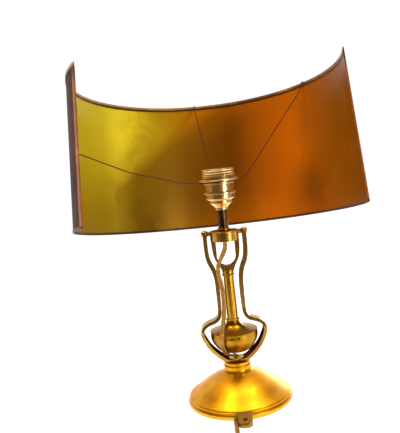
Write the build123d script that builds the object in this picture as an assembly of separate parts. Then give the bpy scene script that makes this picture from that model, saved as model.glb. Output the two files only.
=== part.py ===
from build123d import *
import math
import os

os.makedirs("parts", exist_ok=True)

# Sizes are in millimetres. The lamp stands on Z = 0 with the middle of its base at the origin,
# +Z up, +Y behind the lamp and +X to the right of someone who faces it.

# ---- Base
base_radius = 53.8
rim_section = 3.7
rim_flat = 0.3
shell_wall = 1.3
neck_radius = 13.6
neck_top = 37.6
neck_land = 3.2
boss_depth = 10.0
ballast_gap = 1.0
ballast_top = 13.5
ballast_edge = 11.0
pad_thickness = 1.6
pad_margin = 1.6

groove_height = 4.6
saddle_inset = 15.4
saddle_length = 16.0
saddle_width = 6.0
saddle_thickness = 0.7
saddle_recess = 0.9
saddle_screw_radius = 1.2

# ---- Lug on the rim, for hanging the base on a wall
lug_width = 13.8
lug_reach = 15.2
lug_front_height = 4.4
lug_back_height = 8.8
lug_hole_radius = 2.2
lug_hole_setback = 6.8

# ---- Swivel stud that the yoke turns on
stud_radius = 5.0
stud_bore = 3.3
stud_head_radius = 7.6
stud_head_height = 1.2
stud_foot = 5.0
stud_clearance = 0.05
washer_height = 1.0
nut_height = 3.2
nut_across_flats = 14.0
sleeve_wall = 2.8
swivel_washer_radius = 12.5
swivel_washer_height = 1.6

# ---- Yoke: a strap bent to a lyre, on a turned foot
foot_radius = 13.3
foot_height = 2.8
strap_lobe_thickness = 3.2
strap_arm_thickness = 4.0
strap_lobe_depth = 15.0
strap_arm_depth = 8.0
yoke_bulge = 32.0
yoke_waist = 12.2
lobe_height = 52.3
waist_length = 22.0
arm_rise = 57.2
arm_spread = 20.0
arm_ball_radius = 3.7
arm_ball_inner_face = 16.8

# ---- Pivots
pivot_radius = 1.3
pivot_clearance = 0.05
pivot_thread_radius = 2.0
pivot_depth = 4.4
lug_boss_radius = 2.1
lug_boss_face = 15.2
spacer_radius = 2.6

# ---- Pendulum
drum_radius = 14.6
drum_height = 10.0
drum_above_pivot = 2.1
tine_depth = 9.0
window_half_width = 9.7
window_height = 26.0
collar_radius = 5.8
collar_height = 5.6
column_top_radius = 5.2
column_foot_radius = 5.7
column_length = 44.4
column_bore = 3.0
bead_radius = 7.0
bead_height = 2.4
bowl_radius = 24.0
bowl_depth = 23.0
bowl_wall = 0.9
cover_rise = 10.0
tie_rod_radius = 2.4
tie_rod_lift = 5.8
bowl_screw_radius = 1.1
bowl_screw_half_pitch = 3.7
bowl_screw_drop = 3.2

# ---- Stem and lampholder
stem_radius = 5.1
stem_bore = 3.4
stem_gap = 18.4
ring_nut_radius = 6.2
ring_nut_height = 2.9
holder_radius = 14.1
holder_wall = 1.0
cap_neck_radius = 6.1
cap_neck_height = 2.2
cap_step_radius = 11.3
holder_height = 25.6
holder_flange_radius = 16.3
shade_seat = 52.6
carrier_thickness = 1.1
carrier_radius = 19.0
shade_ring_radius = 19.5
shade_ring_hub = 15.7
shade_ring_height = 12.0
socket_radius = 7.1
socket_depth = 17.5
socket_lift = 2.2
shell_sheet = 0.5
thread_gap = 0.08

# ---- Shade: part of a cone, in a frame of its own whose origin is on the lampholder's axis
shade_bottom_radius = 147.4
shade_top_radius = 140.9
shade_below = 39.0
shade_above = 113.8
shade_offset = 14.8
shade_half_angle = 112.5
shade_turn = 8.7
shade_tilt = 9.8
shade_roll = 1.4
skin_thickness = 0.5
binding_thickness = 0.5
binding_gap = 0.1
top_binding_height = 4.2
bottom_binding_height = 2.2
end_binding_width = 5.0
wire_radius = 0.55
wire_gap = 0.2
side_wire_height = 68.0
side_wire_inset = 1.2
back_wire_angle = 3.2
right_wire_angle = 64.0
wire_bend_radius = 14.0

# ---- Cord: a flat twin flex, drawn as a round tube of about the same section
cord_radius = 1.5
cord_exit_x = -8.7
cord_notch_width = 5.2
cord_notch_height = 3.6
coil_radius = 26.0
coil_turns = 10
coil_columns = 5
coil_pitch_across = 2.7
coil_pitch_up = 4.7
coil_y = -137.0
plug_length = 34.0
plug_width = 33.0
plug_height = 13.6
plug_pin_radius = 2.0
plug_pin_length = 19.0
plug_pin_pitch = 18.6
sleeve_length = 24.0

# ---- Heights that follow from the sizes above
swivel_top = neck_top + swivel_washer_height
strap_bottom = swivel_top + foot_height
strap_floor = strap_bottom + strap_lobe_thickness
strap_middle = strap_bottom + strap_lobe_thickness / 2
waist_z = strap_middle + lobe_height
pivot_z = waist_z + waist_length + arm_rise
drum_top = pivot_z + drum_above_pivot
drum_bottom = drum_top - drum_height
window_bottom = drum_bottom - window_height
collar_top = window_bottom - 4.7
collar_bottom = collar_top - collar_height
column_bottom = collar_bottom - column_length
bead_bottom = column_bottom - bead_height
bowl_rim = bead_bottom - cover_rise
nut_top = drum_top + ring_nut_height
cap_bottom = nut_top + stem_gap
cap_top = cap_bottom + 15.2
holder_top = cap_top + holder_height
shade_z = pivot_z + shade_seat
carrier_z = shade_z - carrier_thickness
insert_bottom = cap_top - 3.2
socket_floor = holder_top - 1.8 - socket_depth
rim_centre_radius = base_radius - rim_section
ballast_radius = rim_centre_radius - rim_section - ballast_gap
saddle_y = saddle_inset - ballast_radius
tie_rod_bottom = bowl_rim - bowl_depth + bowl_wall + tie_rod_lift


def save(name, shape):
    """Write one node to a file of its own."""
    export_step(shape, "parts/" + name + ".step")


def corner_edges(points):
    """Closed outline in the XZ plane from (x, z) or (x, z, corner radius) points."""
    count = len(points)
    places = [Vector(p[0], 0, p[1]) for p in points]
    rounds = [p[2] if len(p) > 2 else 0 for p in points]
    starts = []
    ends = []
    arcs = []
    for i in range(count):
        here = places[i]
        to_last = (places[i - 1] - here).normalized()
        to_next = (places[(i + 1) % count] - here).normalized()
        if rounds[i] == 0:
            starts.append(here)
            ends.append(here)
            arcs.append(None)
            continue
        half = math.acos(max(-1, min(1, to_last.dot(to_next)))) / 2
        reach = rounds[i] / math.tan(half)
        middle = here + (to_last + to_next).normalized() * (rounds[i] / math.sin(half) - rounds[i])
        starts.append(here + to_last * reach)
        ends.append(here + to_next * reach)
        arcs.append(ThreePointArc(starts[-1], middle, ends[-1]))
    edges = []
    for i in range(count):
        if arcs[i] is not None:
            edges.append(arcs[i])
        if (starts[(i + 1) % count] - ends[i]).length > 1e-6:
            edges.append(Line(ends[i], starts[(i + 1) % count]))
    return edges


def outline(points):
    return make_face(corner_edges(points))


def turned(points, angle=360):
    """Solid turned about the Z axis from an outline of (radius, height, corner radius) points."""
    return revolve(outline(points), Axis.Z, angle)


def turned_face(edges):
    return revolve(make_face(edges), Axis.Z, 360)


def tube(outer, inner, low, high):
    return turned([(inner, low), (outer, low), (outer, high), (inner, high)])


def rod(radius, start, end):
    """Plain round rod between two points."""
    start = Vector(*start)
    axis = Vector(*end) - start
    plane = Plane(origin=start, z_dir=axis.normalized())
    return extrude(plane * Circle(radius), axis.length)


def box(low, high):
    size = [b - a for a, b in zip(low, high)]
    middle = [(a + b) / 2 for a, b in zip(low, high)]
    return Pos(*middle) * Box(*size)


def bend_radii(route):
    """Largest arcs that the runs of a route allow: 0.45 of the shorter run at each corner."""
    radii = []
    for last, here, following in zip(route, route[1:], route[2:]):
        before = Vector(*here) - Vector(*last)
        after = Vector(*following) - Vector(*here)
        half_turn = math.radians(before.get_angle(after)) / 2
        radii.append(0.45 * min(before.length, after.length) / math.tan(half_turn))
    return radii


def cord_tube(name, route, radius=cord_radius):
    """Round tube along straight runs joined by tangent arcs; prints its radii and volume."""
    radii = bend_radii(route)
    path = FilletPolyline(*[Vector(*p) for p in route], radius=radii)
    wire = Wire(path.edges())
    section = Plane(origin=wire @ 0, z_dir=wire % 0) * Circle(radius)
    solid = sweep(section, path=wire)
    expected = math.pi * radius**2 * wire.length
    rounded = [round(r, 1) for r in radii]
    ratio = round(solid.volume / expected, 4)
    print(name, "length", round(wire.length, 1), "volume ratio", ratio, "radii", rounded)
    return solid


# ---- Base -----------------------------------------------------------------------------------


def dome_edge(inset):
    """The dome's curve from the neck down to the rim, moved in along its mean normal."""
    foot_r = base_radius - 2.0
    foot_z = 2 * rim_section - 1.2
    land_z = neck_top - neck_land
    shape = [(0, 1), (0.03, 0.905), (0.11, 0.832), (0.335, 0.69), (0.67, 0.41), (0.95, 0.14)]
    slope = math.radians(33)
    span = foot_r - neck_radius
    rise = land_z - foot_z
    points = [(neck_radius + span * out, foot_z + rise * up) for out, up in shape]
    points.append((foot_r + 0.5, foot_z + 1.9))
    points.append((foot_r, foot_z))
    shift = Vector(-inset * math.sin(slope), 0, -inset * math.cos(slope))
    return Spline(*[Vector(r, 0, z) + shift for r, z in points])


def dome_solid(inset, low, high=None):
    """The space under the dome's curve, closed by the axis, a floor and a flat top."""
    curve = dome_edge(inset)
    top = curve @ 0
    foot = curve @ 1
    if high is None:
        high = top.Z
    corners = [foot, Vector(foot.X, 0, low), Vector(0, 0, low), Vector(0, 0, high)]
    corners.append(Vector(top.X, 0, high))
    if abs(high - top.Z) > 1e-6:
        corners.append(top)
    edges = [curve] + [Line(a, b) for a, b in zip(corners, corners[1:])]
    return turned_face(edges)


def rim_solid(grow=0.0):
    middle = Vector(rim_centre_radius, 0, rim_section - rim_flat)
    ring = revolve(Plane(origin=middle, z_dir=(0, -1, 0)) * Circle(rim_section + grow), Axis.Z, 360)
    return ring - box((-99, -99, -9), (99, 99, 0))


def make_base_shell():
    outer = dome_solid(0, 2 * rim_section - 2.5, neck_top)
    inner = dome_solid(shell_wall, -5)
    boss = Pos(0, 0, neck_top - boss_depth) * Cylinder(
        neck_radius - 0.4, boss_depth, align=(Align.CENTER, Align.CENTER, Align.MIN)
    )
    shell = outer - (inner - boss) + rim_solid()
    shell -= Pos(0, 0, neck_top - 12) * Cylinder(stud_radius + stud_clearance, 40)
    front = -base_radius - 1
    half = cord_notch_width / 2
    notch = box((cord_exit_x - half, front, -1), (cord_exit_x + half, -30, cord_notch_height))
    return shell - notch


def make_hanging_lug():
    """A wedge with a round end, hollowed to sit against the rim and the dome's foot."""
    tip = -base_radius - lug_reach
    root = -base_radius + 4.0
    side = [(root, 0), (root, lug_back_height + 0.6), (-base_radius + 2.4, lug_back_height)]
    side += [(tip + 1.4, lug_front_height, 1.2), (tip, lug_front_height - 1.6, 1.0), (tip + 0.6, 0)]
    wedge = extrude(Plane.YZ * make_face(Polyline(*[(y, z) for y, z, *_ in side], close=True)),
                    lug_width / 2, both=True)
    middle = tip + lug_width / 2
    plan = Pos(0, middle) * Circle(lug_width / 2)
    plan += Pos(0, (middle + root) / 2) * Rectangle(lug_width, root - middle)
    lug = wedge & extrude(plan, 40)
    lug -= rim_solid(0.02)
    lug -= dome_solid(-0.02, 2.0, neck_top)
    lug -= lug_drill()
    return lug


def lug_drill():
    y = lug_hole_setback - base_radius - lug_reach
    return rod(lug_hole_radius, (0, y, -20), (0, y, 40))


def make_ballast():
    bottom = pad_thickness
    edge = ballast_radius
    bore = stud_radius + stud_clearance
    pocket = nut_across_flats / 2 + 4.0
    ceiling = stud_foot + nut_height + washer_height + 0.6
    body = turned([(bore, ceiling), (pocket, ceiling), (pocket, bottom), (edge, bottom),
                   (edge, ballast_edge - 2.5), (edge - 6.0, ballast_top), (bore, ballast_top)])
    half = cord_notch_width / 2 + 0.6
    roof = bottom + groove_height
    body -= box((cord_exit_x - half, -edge - 2, bottom - 1), (cord_exit_x + half, 0, roof))
    body -= box((cord_exit_x - half, saddle_y + saddle_width / 2, bottom - 1), (half, 0, roof))
    body -= saddle_strip(0.1, saddle_recess)
    for x, y in saddle_holes():
        body -= rod(saddle_screw_radius + 0.02, (x, y, 0), (x, y, saddle_top() + 5.0))
    return body


def make_baize_pad():
    edge = rim_centre_radius - rim_section - pad_margin
    pad = extrude(Circle(edge), pad_thickness)
    half = cord_notch_width / 2
    return pad - box((cord_exit_x - half, -edge - 2, -1), (cord_exit_x + half, -33, 9))


def make_stud():
    head_bottom = strap_floor - stud_head_height
    return turned([(stud_bore, stud_foot), (stud_radius, stud_foot), (stud_radius, head_bottom),
                   (stud_head_radius, head_bottom), (stud_head_radius, strap_floor),
                   (stud_bore, strap_floor)])


def make_stud_nut():
    low = stud_foot + 0.6
    nut = extrude(Pos(0, 0, low) * RegularPolygon(nut_across_flats / 2, 6, major_radius=False),
                  nut_height)
    return nut - Pos(0, 0, low) * Cylinder(stud_radius + 0.02, 20)


def saddle_top():
    return pad_thickness + saddle_recess


def saddle_strip(gap=0.0, drop=0.0):
    half = saddle_length / 2 + gap
    low = saddle_top() - saddle_thickness - drop
    y = saddle_width / 2 + gap
    return box((cord_exit_x - half, saddle_y - y, low), (cord_exit_x + half, saddle_y + y, saddle_top()))


def saddle_holes():
    reach = saddle_length / 2 - 2.2
    return [(cord_exit_x - reach, saddle_y), (cord_exit_x + reach, saddle_y)]


def make_saddle():
    """Bridge over the cord in the underside of the ballast."""
    strip = saddle_strip()
    for x, y in saddle_holes():
        strip -= Pos(x, y, 0) * saddle_screw(0.03)
    return strip


def saddle_screw(gap=0.0):
    """Countersunk screw, point up."""
    low = saddle_top() - saddle_thickness
    thin = saddle_screw_radius + gap
    return turned([(0, low), (thin + 0.6, low), (thin, low + 0.6), (thin, saddle_top() + 4.5),
                   (0, saddle_top() + 4.5)])


def make_saddle_screws():
    slot = Box(2.4, 0.5, 0.6)
    low = saddle_top() - saddle_thickness
    return Compound([Pos(x, y, 0) * saddle_screw() - Pos(x, y, low) * slot for x, y in saddle_holes()])


# ---- Yoke -----------------------------------------------------------------------------------


def strap_stations():
    """Right-hand half of the strap's centre line as (x, z, half thickness)."""
    lobe = [(0.372, 0.025), (0.544, 0.110), (0.688, 0.196), (0.828, 0.305), (0.931, 0.429)]
    lobe += [(0.994, 0.526), (1.0, 0.607), (0.959, 0.673), (0.866, 0.727), (0.731, 0.765)]
    neck = [(0.28, 0.805), (0.07, 0.885), (0.015, 1.0)]
    flare = [(0.0, 0.0), (0.10, 0.231), (0.418, 0.388), (0.772, 0.500), (0.937, 0.615)]
    flare += [(1.0, 0.769), (1.0, 0.985)]
    thin = strap_lobe_thickness / 2
    thick = strap_arm_thickness / 2
    stations = [(0.29 * yoke_bulge, strap_middle, thin)]
    stations += [(yoke_bulge * x, strap_middle + lobe_height * z, thin) for x, z in lobe]
    span = yoke_bulge - yoke_waist
    stations += [(yoke_waist + span * x, strap_middle + lobe_height * z, (thin + thick) / 2)
                 for x, z in neck]
    spread = arm_spread - yoke_waist
    flare_z = waist_z + waist_length
    stations += [(yoke_waist + spread * x, flare_z + arm_rise * z, thick) for x, z in flare]
    return stations


def strap_side(side):
    """Points along the outer (+1) or inner (-1) face of the right-hand half."""
    stations = strap_stations()
    points = []
    for i, (x, z, half) in enumerate(stations):
        x0, z0, _ = stations[max(i - 1, 0)]
        x1, z1, _ = stations[min(i + 1, len(stations) - 1)]
        if i == 0:
            x0 = -x1
            z0 = z1
        along = Vector(x1 - x0, 0, z1 - z0).normalized()
        points.append((x + side * half * along.Z, z - side * half * along.X))
    return points


def strap_outline():
    outer = strap_side(1)
    inner = strap_side(-1)
    flat = [(0, strap_bottom)]
    floor = [(0, strap_floor)]
    outer_line = [(-x, z) for x, z in reversed(outer)] + flat + outer
    inner_line = [(-x, z) for x, z in reversed(inner)] + floor + inner
    outer_edge = Spline(*[Vector(x, 0, z) for x, z in outer_line])
    inner_edge = Spline(*[Vector(x, 0, z) for x, z in inner_line])
    ends = [Line(outer_edge @ 0, inner_edge @ 0), Line(outer_edge @ 1, inner_edge @ 1)]
    return make_face([outer_edge, inner_edge] + ends)


def make_yoke_strap():
    deep = strap_lobe_depth / 2
    slim = strap_arm_depth / 2
    narrow_from = strap_middle + 0.62 * lobe_height
    strap = extrude(strap_outline(), deep, both=True)
    width = [(-deep, 0), (-deep, narrow_from), (-slim, waist_z), (-slim, pivot_z + 20)]
    width += [(-y, z) for y, z in reversed(width)]
    strap -= box((-60, -60, strap_bottom - 9), (60, 60, strap_bottom))
    strap &= extrude(Plane.YZ * make_face(Polyline(*width, close=True)), 60, both=True)
    for side in (-1, 1):
        ball = Pos(side * arm_spread, 0, pivot_z) * Sphere(arm_ball_radius)
        strap += ball
    far = arm_ball_inner_face
    strap -= box((-far, -20, pivot_z - 4.5), (far, 20, pivot_z + 9))
    strap -= rod(pivot_thread_radius + 0.02, (-60, 0, pivot_z), (60, 0, pivot_z))
    strap -= rod(stud_radius + stud_clearance, (0, 0, 0), (0, 0, strap_floor + 4))
    head = rod(stud_head_radius + 0.1, (0, 0, strap_floor - stud_head_height), (0, 0, strap_floor + 4))
    return strap - head


def make_yoke_foot():
    bore = stud_radius + stud_clearance
    return turned([(bore, swivel_top), (foot_radius, swivel_top, 0.7),
                   (foot_radius, strap_bottom, 0.7), (bore, strap_bottom)])


def make_pivot_screws():
    screws = []
    for side in (-1, 1):
        inner = drum_radius - pivot_depth + 0.2
        outer = arm_spread + arm_ball_radius - 0.4
        shoulder = (side * arm_ball_inner_face, 0, pivot_z)
        screw = rod(pivot_radius, (side * inner, 0, pivot_z), shoulder)
        screw += rod(pivot_thread_radius, shoulder, (side * outer, 0, pivot_z))
        slot = Pos(side * outer, 0, pivot_z) * Box(1.6, 0.8, 9)
        screws.append(screw - slot)
    return Compound(screws)


def make_pivot_spacers():
    rings = []
    for side in (-1, 1):
        start = (side * lug_boss_face, 0, pivot_z)
        end = (side * arm_ball_inner_face, 0, pivot_z)
        ring = rod(spacer_radius, start, end) - rod(pivot_radius + 0.02, start, end)
        rings.append(ring)
    return Compound(rings)


# ---- Pendulum -------------------------------------------------------------------------------


def tine_plate():
    """Flat blank of the two tines, before the window is cut."""
    foot = window_bottom + window_half_width
    side = [(drum_radius - 0.2, drum_bottom + 2), (drum_radius - 0.8, foot + 8.0),
            (drum_radius - 2.1, foot), (drum_radius - 4.9, foot - 6.4),
            (collar_radius + 1.3, collar_top + 3.2), (collar_radius, collar_top - 1)]
    right = Spline(*[Vector(x, 0, z) for x, z in side])
    left = Spline(*[Vector(-x, 0, z) for x, z in side])
    blank = make_face([right, left, Line(right @ 0, left @ 0), Line(right @ 1, left @ 1)])
    return extrude(blank, tine_depth / 2, both=True)


def window_cut():
    corner = window_half_width - 0.1
    window = [(-window_half_width, window_bottom, corner), (window_half_width, window_bottom, corner),
              (window_half_width, drum_bottom, 1.6), (-window_half_width, drum_bottom, 1.6)]
    return extrude(outline(window), tine_depth, both=True)


def make_stirrup():
    """Drum, two tines joined by a U, and the collar that holds the column."""
    drum = Rot(0, 0, 40) * turned([(0, drum_bottom), (drum_radius, drum_bottom, 0.5),
                                   (drum_radius, drum_top, 0.8), (0, drum_top)])
    drum += rod(lug_boss_radius, (-lug_boss_face, 0, pivot_z), (lug_boss_face, 0, pivot_z))
    drum -= rod(stem_radius + 0.03, (0, 0, drum_bottom + 2.7), (0, 0, drum_top + 5))
    drum -= rod(stem_bore, (0, 0, drum_bottom - 3), (0, 0, drum_top))
    for side in (-1, 1):
        start = side * (drum_radius - pivot_depth)
        drum -= rod(pivot_radius + pivot_clearance, (start, 0, pivot_z), (side * 30, 0, pivot_z))
    collar = turned([(0, collar_bottom), (collar_radius + 0.5, collar_bottom, 0.4),
                     (collar_radius + 0.5, collar_bottom + 1.6, 0.4),
                     (collar_radius, collar_bottom + 2.2), (collar_radius, collar_top + 0.6),
                     (0, collar_top + 0.6)])
    tines = tine_plate() - window_cut()
    tines -= box((-60, -20, drum_bottom), (60, 20, drum_top + 5))
    foot = tines + collar
    foot -= rod(tie_rod_radius + 0.03, (0, 0, collar_bottom - 5), (0, 0, collar_top + 2.4))
    return drum + foot


def make_column():
    return turned([(column_bore, column_bottom), (column_foot_radius, column_bottom),
                   (column_top_radius, collar_bottom), (column_bore, collar_bottom)])


def make_column_foot():
    low = bead_bottom
    return turned([(column_bore, low), (bead_radius - 0.5, low, 0.3), (bead_radius, low + 0.8, 0.4),
                   (bead_radius, low + 1.9, 0.6), (column_foot_radius + 0.2, column_bottom, 0.2),
                   (column_bore, column_bottom)])


def make_bowl_cover():
    shape = [(0, 1), (0.12, 0.58), (0.43, 0.26), (0.77, 0.10), (1, 0)]
    inner = bead_radius - 0.6
    span = bowl_radius + 0.3 - inner
    points = [Vector(inner + span * out, 0, bowl_rim + cover_rise * up) for out, up in shape]
    top = Spline(*points)
    drop = Vector(0, 0, -bowl_wall)
    bottom = Spline(*[p + drop for p in points])
    start = Vector(column_bore, 0, points[0].Z)
    edges = [top, bottom, Line(top @ 1, bottom @ 1), Line(start, top @ 0)]
    edges += [Line(start, start + drop), Line(start + drop, bottom @ 0)]
    return turned_face(edges)


def bowl_points(scale):
    shape = [(0.27, 0.972), (0.537, 0.911), (0.726, 0.798), (0.845, 0.636), (0.958, 0.433)]
    shape += [(1.008, 0.219), (1.0, bowl_wall / bowl_depth)]
    points = [(0, bowl_rim - bowl_depth * scale)]
    points += [(bowl_radius * out * scale, bowl_rim - bowl_depth * down * scale)
               for out, down in shape]
    return [Vector(r, 0, z) for r, z in points]


def bowl_solid(scale, top):
    points = bowl_points(scale)
    curve = Spline(*points, tangents=[(1, 0, 0), (0, 0, 1)])
    lip = curve @ 1
    edges = [curve, Line(Vector(0, 0, top), points[0]), Line(Vector(0, 0, top), Vector(lip.X, 0, top))]
    if abs(top - lip.Z) > 1e-6:
        edges.append(Line(lip, Vector(lip.X, 0, top)))
    return turned_face(edges)


def bowl_screw_cut(radius, depth_from_front):
    cuts = []
    z = bowl_rim - bowl_screw_drop
    for side in (-1, 1):
        x = side * bowl_screw_half_pitch
        front = -math.sqrt(bowl_radius**2 - x**2)
        cuts.append(rod(radius, (x, front + depth_from_front[0], z), (x, front + depth_from_front[1], z)))
    return cuts


def make_bowl_cup():
    lip = bowl_rim - bowl_wall
    cup = bowl_solid(1.0, lip) - bowl_solid(1 - bowl_wall / bowl_radius, lip + 3)
    for cut in bowl_screw_cut(bowl_screw_radius + 0.05, (-3, 5)):
        cup -= cut
    return cup


def make_bowl_weight():
    scale = 1 - (bowl_wall + 0.15) / bowl_radius
    top = bowl_rim - 3.0
    weight = bowl_solid(scale, bowl_rim + 2) - box((-60, -60, top), (60, 60, top + 60))
    weight -= rod(tie_rod_radius + 0.03, (0, 0, tie_rod_bottom), (0, 0, bowl_rim + 5))
    for cut in bowl_screw_cut(bowl_screw_radius + 0.05, (-3, 5)):
        weight -= cut
    return weight


def make_bowl_screws():
    return Compound(bowl_screw_cut(bowl_screw_radius, (0.3, 4.9)))


# ---- Stem and lampholder --------------------------------------------------------------------


def make_stem():
    return tube(stem_radius, stem_bore, drum_bottom + 2.8, cap_bottom + 5.2)


def make_ring_nut():
    bore = stem_radius + 0.03
    return turned([(bore, drum_top), (ring_nut_radius, drum_top, 0.5),
                   (ring_nut_radius, nut_top, 0.8), (bore, nut_top)])


def make_holder_cap():
    low = cap_bottom
    bore = stem_radius + 0.03
    neck = cap_neck_radius
    step = cap_step_radius
    wide = holder_radius + 0.2
    wall = holder_wall
    return turned([
        (bore, low), (neck, low, 0.4), (neck, low + cap_neck_height, 0.3), (step - 1.4, low + 6.0, 1.0),
        (step, low + 6.9, 0.4), (step, low + 9.9, 0.5), (wide - 0.8, low + 10.8, 0.5),
        (wide, low + 11.6, 0.4), (wide, cap_top), (wide - wall, cap_top),
        (wide - wall, low + 12.1), (step - wall, low + 10.7), (step - wall, low + 7.4),
        (neck + 1.6, low + 5.2), (bore, low + 5.2)])


def make_holder_body():
    inner = holder_radius - holder_wall
    low = cap_top
    edge = holder_flange_radius
    return turned([(inner, low), (holder_radius, low), (holder_radius, low + 0.9),
                   (edge, low + 1.2, 0.3), (edge, low + 2.8, 0.6), (holder_radius, low + 3.2, 0.3),
                   (holder_radius, holder_top, 0.3), (inner, holder_top)])


def make_holder_insert():
    outer = holder_radius - holder_wall - 0.1
    top = holder_top - 1.6
    bore = socket_radius + shell_sheet + 0.02
    body = turned([(0, insert_bottom), (outer, insert_bottom, 0.4), (outer, top, 0.8),
                   (bore, top), (bore, socket_floor), (0, socket_floor)])
    for side in (-1, 1):
        x = side * 8.0
        body -= rod(1.45, (x, 0, insert_bottom - 1), (x, 0, insert_bottom + 4.2))
    return body - rod(1.25, (0, 0, insert_bottom - 1), (0, 0, socket_floor + 1))


def make_screw_shell():
    return tube(socket_radius + shell_sheet, socket_radius, socket_floor + socket_lift,
                socket_floor + socket_depth)


def make_centre_contact():
    low = socket_floor
    return turned([(0, low), (3.3, low), (3.3, low + 0.6), (1.8, low + 1.6, 0.6), (0, low + 1.6)])


def make_contact_rivet():
    low = insert_bottom
    return turned([(0, low - 0.9), (2.4, low - 0.9, 0.4), (2.4, low), (1.2, low),
                   (1.2, socket_floor), (0, socket_floor)])


def make_terminal_screws():
    screws = []
    for side in (-1, 1):
        screw = rod(2.2, (0, 0, insert_bottom - 1.8), (0, 0, insert_bottom))
        screw += rod(1.4, (0, 0, insert_bottom), (0, 0, insert_bottom + 4))
        screw -= Pos(0, 0, insert_bottom - 1.8) * Box(9, 0.7, 1.2)
        screws.append(Pos(side * 8.0, 0, 0) * screw)
    return Compound(screws)


def make_lower_shade_ring():
    bore = holder_radius + thread_gap
    high = carrier_z
    return turned([(bore, high - 1.9), (bore + 1.5, high - 1.9, 0.4), (bore + 1.5, high),
                   (bore, high)])


def make_upper_shade_ring():
    """Flange with a gripping hub of fine round ridges."""
    bore = holder_radius + thread_gap
    points = [(bore, shade_z), (shade_ring_radius, shade_z, 0.4),
              (shade_ring_radius, shade_z + 1.4, 0.5), (shade_ring_hub + 1.0, shade_z + 2.2, 0.4)]
    ridges = 4
    pitch = (shade_ring_height - 2.4) / ridges
    for i in range(ridges):
        z = shade_z + 2.4 + pitch * i
        points += [(shade_ring_hub - 0.1, z + 0.1, 0.2), (shade_ring_hub + 0.5, z + 0.5 * pitch, 0.5)]
    points += [(shade_ring_hub - 0.2, shade_z + shade_ring_height, 0.3)]
    points += [(bore, shade_z + shade_ring_height)]
    return turned(points)


def make_carrier_ring():
    return tube(carrier_radius, holder_radius + 0.1, carrier_z, shade_z)


# ---- Shade ----------------------------------------------------------------------------------

shade_place = (Pos(0, 0, shade_z + 1.6) * Rot(0, 0, shade_turn) * Rot(-shade_tilt, 0, 0)
               * Rot(0, shade_roll, 0))


def shade_radius(z):
    fall = (z + shade_below) / (shade_above + shade_below)
    return shade_bottom_radius + (shade_top_radius - shade_bottom_radius) * fall


def shade_point(angle, z, out=0.0):
    """Point on the shade, by angle from its back (right is positive) and height in its frame."""
    a = math.radians(angle)
    radius = shade_radius(z) + out
    local = Pos(radius * math.sin(a), shade_offset + radius * math.cos(a), z)
    return (shade_place * local).position


def shade_band(low, high, inner, outer, start=-shade_half_angle, end=shade_half_angle):
    """Part of a cone between two heights, from `inner` to `outer` of the skin's middle."""
    corners = [(shade_radius(low) + inner, low), (shade_radius(low) + outer, low),
               (shade_radius(high) + outer, high), (shade_radius(high) + inner, high)]
    face = make_face(Polyline(*[(r, 0, z) for r, z in corners], close=True))
    swept = revolve(Rot(0, 0, 90 - end) * face, Axis.Z, end - start)
    return Pos(0, shade_offset, 0) * swept


def make_shade_skin():
    half = skin_thickness / 2
    return shade_place * shade_band(-shade_below, shade_above, -half, half)


def edge_binding(low, high, start, end, cap_low=False, cap_high=False, cap_start=False, cap_end=False):
    """Folded strip over an edge of the skin, with the skin's own space cut out of it."""
    gap = binding_gap
    reach = skin_thickness / 2 + binding_thickness
    hole = skin_thickness / 2 + gap
    step = math.degrees(binding_thickness / shade_bottom_radius)
    outer = shade_band(low - cap_low * binding_thickness, high + cap_high * binding_thickness,
                       -reach, reach, start - cap_start * step, end + cap_end * step)
    extra = math.degrees(3.0 / shade_bottom_radius)
    cut_low = low if cap_low else low - 3
    cut_high = high if cap_high else high + 3
    cut_start = start if cap_start else start - extra
    cut_end = end if cap_end else end + extra
    return outer - shade_band(cut_low, cut_high, -hole, hole, cut_start, cut_end)


def make_top_binding():
    high = shade_above + binding_gap
    strip = edge_binding(high - top_binding_height, high, -shade_half_angle, shade_half_angle,
                         cap_high=True)
    return shade_place * strip


def make_bottom_binding():
    low = -shade_below - binding_gap
    strip = edge_binding(low, low + bottom_binding_height, -shade_half_angle, shade_half_angle,
                         cap_low=True)
    return shade_place * strip


def make_end_binding(side):
    low = -shade_below + bottom_binding_height + 0.05
    high = shade_above - top_binding_height - 0.05
    width = math.degrees(end_binding_width / shade_bottom_radius)
    gap = math.degrees(binding_gap / shade_bottom_radius)
    edge = shade_half_angle + gap
    if side > 0:
        strip = edge_binding(low, high, edge - width, edge, cap_end=True)
    else:
        strip = edge_binding(low, high, -edge, -edge + width, cap_start=True)
    return shade_place * strip


def wire_run(tip, bends):
    """From the edge of the carrier ring towards a tip, in the upright plane through both.

    Each bend is a share of the tip's reach beyond the ring and a share of its rise.
    """
    start_z = carrier_z + carrier_thickness / 2
    away = Vector(tip.X, tip.Y, 0).normalized()
    reach = Vector(tip.X, tip.Y, 0).length - carrier_radius
    rise = tip.Z - start_z
    points = [away * carrier_radius + Vector(0, 0, start_z)]
    for out, up in bends:
        points.append(away * (carrier_radius + reach * out) + Vector(0, 0, start_z + rise * up))
    return points


def wire_sweep(points, hook_corners=0):
    """Round wire along a route, whose last corners are bent as tightly as the wire allows."""
    radii = [min(radius, wire_bend_radius) for radius in bend_radii(points)]
    for i in range(hook_corners):
        radii[-1 - i] = 2 * wire_radius
    path = Wire(FilletPolyline(*points, radius=radii).edges())
    return sweep(Plane(origin=path @ 0, z_dir=path % 0) * Circle(wire_radius), path=path)


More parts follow.
